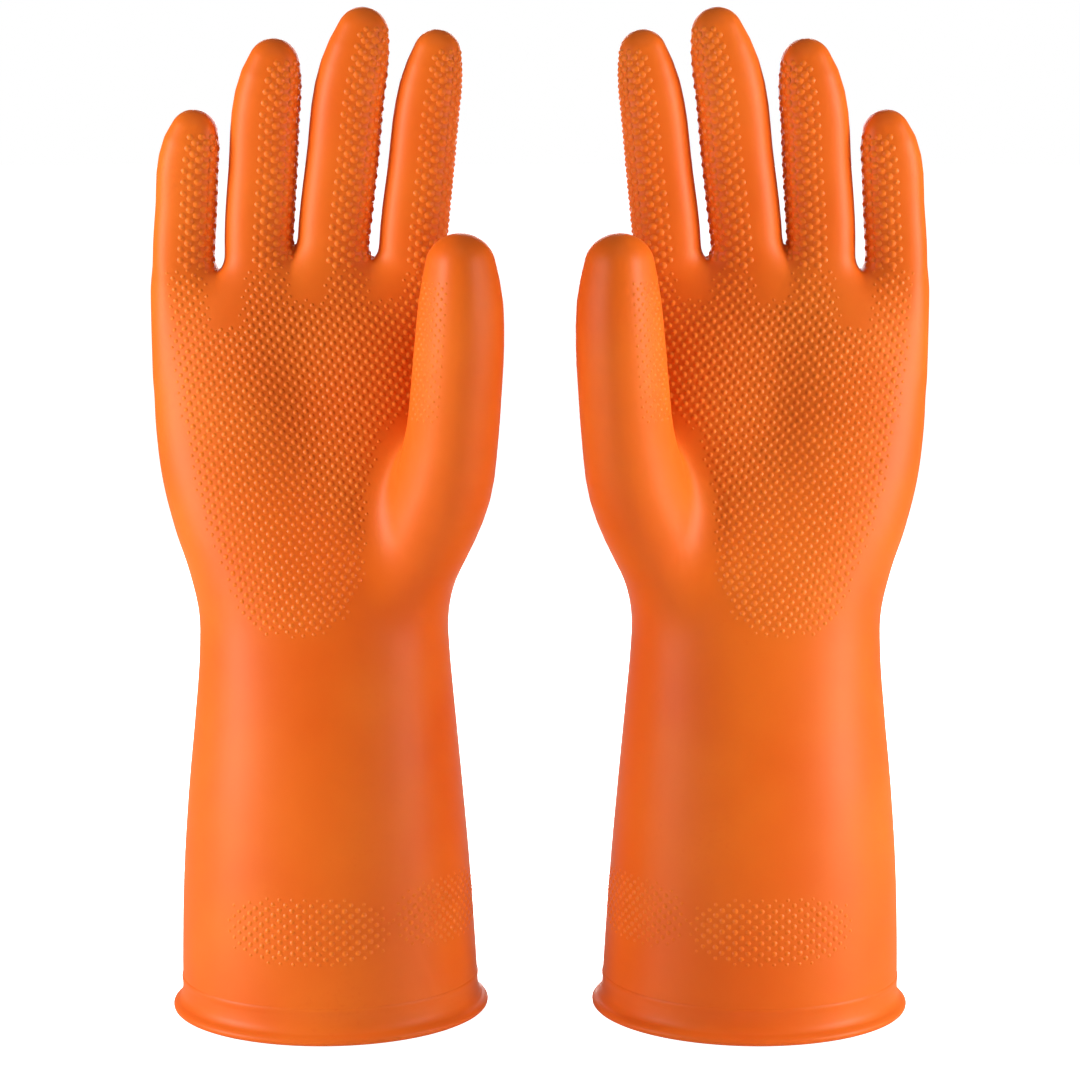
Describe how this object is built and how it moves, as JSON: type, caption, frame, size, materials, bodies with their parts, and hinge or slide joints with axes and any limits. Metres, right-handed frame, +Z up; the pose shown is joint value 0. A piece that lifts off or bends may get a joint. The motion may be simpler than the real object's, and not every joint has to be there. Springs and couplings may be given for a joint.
{
  "type": "rubber gloves",
  "caption": "A left and a right long-cuffed household rubber glove standing upright side by side, with curved fingers, dotted grip and a rolled rim.",
  "frame": {"origin": "on the surface the gloves stand on, midway between the middles of the two cuffs", "axes": "+Z up from the rims to the fingertips; +Y from the palms to the backs of the hands; +X from the right-hand glove to the left-hand glove"},
  "size_m": [0.2426, 0.0874, 0.31],
  "materials": {
    "glove_rubber": "soft satin dipped latex with raised grip dots",
    "bead_rubber": "soft satin rolled edge"
  },
  "bodies": {
    "right_sleeve": {"right_cuff": "glove_rubber", "right_cuff_bead": "bead_rubber"},
    "right_hand": {"right_palm": "glove_rubber"},
    "right_index_root": {"right_index_root": "glove_rubber"},
    "right_index_mid": {"right_index_mid": "glove_rubber"},
    "right_index_tip": {"right_index_tip": "glove_rubber"},
    "right_middle_root": {"right_middle_root": "glove_rubber"},
    "right_middle_mid": {"right_middle_mid": "glove_rubber"},
    "right_middle_tip": {"right_middle_tip": "glove_rubber"},
    "right_ring_root": {"right_ring_root": "glove_rubber"},
    "right_ring_mid": {"right_ring_mid": "glove_rubber"},
    "right_ring_tip": {"right_ring_tip": "glove_rubber"},
    "right_little_root": {"right_little_root": "glove_rubber"},
    "right_little_mid": {"right_little_mid": "glove_rubber"},
    "right_little_tip": {"right_little_tip": "glove_rubber"},
    "right_thumb_root": {"right_thumb_root": "glove_rubber"},
    "right_thumb_tip": {"right_thumb_tip": "glove_rubber"},
    "left_sleeve": {"left_cuff": "glove_rubber", "left_cuff_bead": "bead_rubber"},
    "left_hand": {"left_palm": "glove_rubber"},
    "left_index_root": {"left_index_root": "glove_rubber"},
    "left_index_mid": {"left_index_mid": "glove_rubber"},
    "left_index_tip": {"left_index_tip": "glove_rubber"},
    "left_middle_root": {"left_middle_root": "glove_rubber"},
    "left_middle_mid": {"left_middle_mid": "glove_rubber"},
    "left_middle_tip": {"left_middle_tip": "glove_rubber"},
    "left_ring_root": {"left_ring_root": "glove_rubber"},
    "left_ring_mid": {"left_ring_mid": "glove_rubber"},
    "left_ring_tip": {"left_ring_tip": "glove_rubber"},
    "left_little_root": {"left_little_root": "glove_rubber"},
    "left_little_mid": {"left_little_mid": "glove_rubber"},
    "left_little_tip": {"left_little_tip": "glove_rubber"},
    "left_thumb_root": {"left_thumb_root": "glove_rubber"},
    "left_thumb_tip": {"left_thumb_tip": "glove_rubber"}
  },
  "joints": [
    {"name": "right_wrist", "type": "hinge", "parent": "right_sleeve", "child": "right_hand", "pos_m": [-0.0672, 0.001, 0.12], "axis": [1, 0, 0], "range_deg": [-30, 35], "stiffness_Nm_per_rad": 0.5},
    {"name": "right_index_knuckle", "type": "hinge", "parent": "right_hand", "child": "right_index_root", "pos_m": [-0.03892, -0.00006, 0.24333], "axis": [0.993, 0, -0.1184], "range_deg": [-10, 60], "stiffness_Nm_per_rad": 0.04},
    {"name": "right_index_middle_joint", "type": "hinge", "parent": "right_index_root", "child": "right_index_mid", "pos_m": [-0.03669, -0.00048, 0.26202], "axis": [0.993, 0, -0.1184], "range_deg": [0, 75], "stiffness_Nm_per_rad": 0.02},
    {"name": "right_index_last_joint", "type": "hinge", "parent": "right_index_mid", "child": "right_index_tip", "pos_m": [-0.03437, -0.00236, 0.2815], "axis": [0.993, 0, -0.1184], "range_deg": [0, 45], "stiffness_Nm_per_rad": 0.01},
    {"name": "right_middle_knuckle", "type": "hinge", "parent": "right_hand", "child": "right_middle_root", "pos_m": [-0.06332, -0.00033, 0.24482], "axis": [0.9919, 0, -0.1271], "range_deg": [-10, 60], "stiffness_Nm_per_rad": 0.04},
    {"name": "right_middle_middle_joint", "type": "hinge", "parent": "right_middle_root", "child": "right_middle_mid", "pos_m": [-0.06068, -0.00096, 0.26545], "axis": [0.9919, 0, -0.1271], "range_deg": [0, 75], "stiffness_Nm_per_rad": 0.02},
    {"name": "right_middle_last_joint", "type": "hinge", "parent": "right_middle_mid", "child": "right_middle_tip", "pos_m": [-0.05794, -0.0031, 0.28686], "axis": [0.9919, 0, -0.1271], "range_deg": [0, 45], "stiffness_Nm_per_rad": 0.01},
    {"name": "right_ring_knuckle", "type": "hinge", "parent": "right_hand", "child": "right_ring_root", "pos_m": [-0.08711, -0.00015, 0.24482], "axis": [0.9968, 0, -0.0802], "range_deg": [-10, 60], "stiffness_Nm_per_rad": 0.04},
    {"name": "right_ring_middle_joint", "type": "hinge", "parent": "right_ring_root", "child": "right_ring_mid", "pos_m": [-0.08568, -0.00065, 0.26258], "axis": [0.9968, 0, -0.0802], "range_deg": [0, 75], "stiffness_Nm_per_rad": 0.02},
    {"name": "right_ring_last_joint", "type": "hinge", "parent": "right_ring_mid", "child": "right_ring_tip", "pos_m": [-0.08427, -0.00234, 0.28014], "axis": [0.9968, 0, -0.0802], "range_deg": [0, 45], "stiffness_Nm_per_rad": 0.01},
    {"name": "right_little_knuckle", "type": "hinge", "parent": "right_hand", "child": "right_little_root", "pos_m": [-0.11041, -0.00001, 0.23684], "axis": [0.9969, 0, -0.0785], "range_deg": [-10, 60], "stiffness_Nm_per_rad": 0.04},
    {"name": "right_little_middle_joint", "type": "hinge", "parent": "right_little_root", "child": "right_little_mid", "pos_m": [-0.10933, -0.00035, 0.25064], "axis": [0.9969, 0, -0.0785], "range_deg": [0, 75], "stiffness_Nm_per_rad": 0.02},
    {"name": "right_little_last_joint", "type": "hinge", "parent": "right_little_mid", "child": "right_little_tip", "pos_m": [-0.10829, -0.0016, 0.26378], "axis": [0.9969, 0, -0.0785], "range_deg": [0, 45], "stiffness_Nm_per_rad": 0.01},
    {"name": "right_thumb_knuckle", "type": "hinge", "parent": "right_hand", "child": "right_thumb_root", "pos_m": [-0.0323, -0.025, 0.187], "axis": [0.0157, 0.9744, 0.2244], "range_deg": [-35, 15], "stiffness_Nm_per_rad": 0.05},
    {"name": "right_thumb_joint", "type": "hinge", "parent": "right_thumb_root", "child": "right_thumb_tip", "pos_m": [-0.0305, -0.03, 0.209], "axis": [0.0157, 0.9744, 0.2244], "range_deg": [-35, 15], "stiffness_Nm_per_rad": 0.03},
    {"name": "left_wrist", "type": "hinge", "parent": "left_sleeve", "child": "left_hand", "pos_m": [0.0672, 0.001, 0.12], "axis": [1, 0, 0], "range_deg": [-30, 35], "stiffness_Nm_per_rad": 0.5},
    {"name": "left_index_knuckle", "type": "hinge", "parent": "left_hand", "child": "left_index_root", "pos_m": [0.03892, -0.00006, 0.24333], "axis": [0.993, 0, 0.1184], "range_deg": [-10, 60], "stiffness_Nm_per_rad": 0.04},
    {"name": "left_index_middle_joint", "type": "hinge", "parent": "left_index_root", "child": "left_index_mid", "pos_m": [0.03669, -0.00048, 0.26202], "axis": [0.993, 0, 0.1184], "range_deg": [0, 75], "stiffness_Nm_per_rad": 0.02},
    {"name": "left_index_last_joint", "type": "hinge", "parent": "left_index_mid", "child": "left_index_tip", "pos_m": [0.03437, -0.00236, 0.2815], "axis": [0.993, 0, 0.1184], "range_deg": [0, 45], "stiffness_Nm_per_rad": 0.01},
    {"name": "left_middle_knuckle", "type": "hinge", "parent": "left_hand", "child": "left_middle_root", "pos_m": [0.06332, -0.00033, 0.24482], "axis": [0.9919, 0, 0.1271], "range_deg": [-10, 60], "stiffness_Nm_per_rad": 0.04},
    {"name": "left_middle_middle_joint", "type": "hinge", "parent": "left_middle_root", "child": "left_middle_mid", "pos_m": [0.06068, -0.00096, 0.26545], "axis": [0.9919, 0, 0.1271], "range_deg": [0, 75], "stiffness_Nm_per_rad": 0.02},
    {"name": "left_middle_last_joint", "type": "hinge", "parent": "left_middle_mid", "child": "left_middle_tip", "pos_m": [0.05794, -0.0031, 0.28686], "axis": [0.9919, 0, 0.1271], "range_deg": [0, 45], "stiffness_Nm_per_rad": 0.01},
    {"name": "left_ring_knuckle", "type": "hinge", "parent": "left_hand", "child": "left_ring_root", "pos_m": [0.08711, -0.00015, 0.24482], "axis": [0.9968, 0, 0.0802], "range_deg": [-10, 60], "stiffness_Nm_per_rad": 0.04},
    {"name": "left_ring_middle_joint", "type": "hinge", "parent": "left_ring_root", "child": "left_ring_mid", "pos_m": [0.08568, -0.00065, 0.26258], "axis": [0.9968, 0, 0.0802], "range_deg": [0, 75], "stiffness_Nm_per_rad": 0.02},
    {"name": "left_ring_last_joint", "type": "hinge", "parent": "left_ring_mid", "child": "left_ring_tip", "pos_m": [0.08427, -0.00234, 0.28014], "axis": [0.9968, 0, 0.0802], "range_deg": [0, 45], "stiffness_Nm_per_rad": 0.01},
    {"name": "left_little_knuckle", "type": "hinge", "parent": "left_hand", "child": "left_little_root", "pos_m": [0.11041, -0.00001, 0.23684], "axis": [0.9969, 0, 0.0785], "range_deg": [-10, 60], "stiffness_Nm_per_rad": 0.04},
    {"name": "left_little_middle_joint", "type": "hinge", "parent": "left_little_root", "child": "left_little_mid", "pos_m": [0.10933, -0.00035, 0.25064], "axis": [0.9969, 0, 0.0785], "range_deg": [0, 75], "stiffness_Nm_per_rad": 0.02},
    {"name": "left_little_last_joint", "type": "hinge", "parent": "left_little_mid", "child": "left_little_tip", "pos_m": [0.10829, -0.0016, 0.26378], "axis": [0.9969, 0, 0.0785], "range_deg": [0, 45], "stiffness_Nm_per_rad": 0.01},
    {"name": "left_thumb_knuckle", "type": "hinge", "parent": "left_hand", "child": "left_thumb_root", "pos_m": [0.0323, -0.025, 0.187], "axis": [0.0157, -0.9744, -0.2244], "range_deg": [-35, 15], "stiffness_Nm_per_rad": 0.05},
    {"name": "left_thumb_joint", "type": "hinge", "parent": "left_thumb_root", "child": "left_thumb_tip", "pos_m": [0.0305, -0.03, 0.209], "axis": [0.0157, -0.9744, -0.2244], "range_deg": [-35, 15], "stiffness_Nm_per_rad": 0.03},
    {"name": "pair_spacing", "type": "slide", "parent": "right_sleeve", "child": "left_sleeve", "axis": [1, 0, 0], "range_m": [0, 0.06]}
  ],
  "couplings": [
    {"joint": "right_index_last_joint", "follows": "right_index_middle_joint", "ratio": 0.6},
    {"joint": "right_middle_last_joint", "follows": "right_middle_middle_joint", "ratio": 0.6},
    {"joint": "right_ring_last_joint", "follows": "right_ring_middle_joint", "ratio": 0.6},
    {"joint": "right_little_last_joint", "follows": "right_little_middle_joint", "ratio": 0.6},
    {"joint": "left_index_last_joint", "follows": "left_index_middle_joint", "ratio": 0.6},
    {"joint": "left_middle_last_joint", "follows": "left_middle_middle_joint", "ratio": 0.6},
    {"joint": "left_ring_last_joint", "follows": "left_ring_middle_joint", "ratio": 0.6},
    {"joint": "left_little_last_joint", "follows": "left_little_middle_joint", "ratio": 0.6}
  ]
}
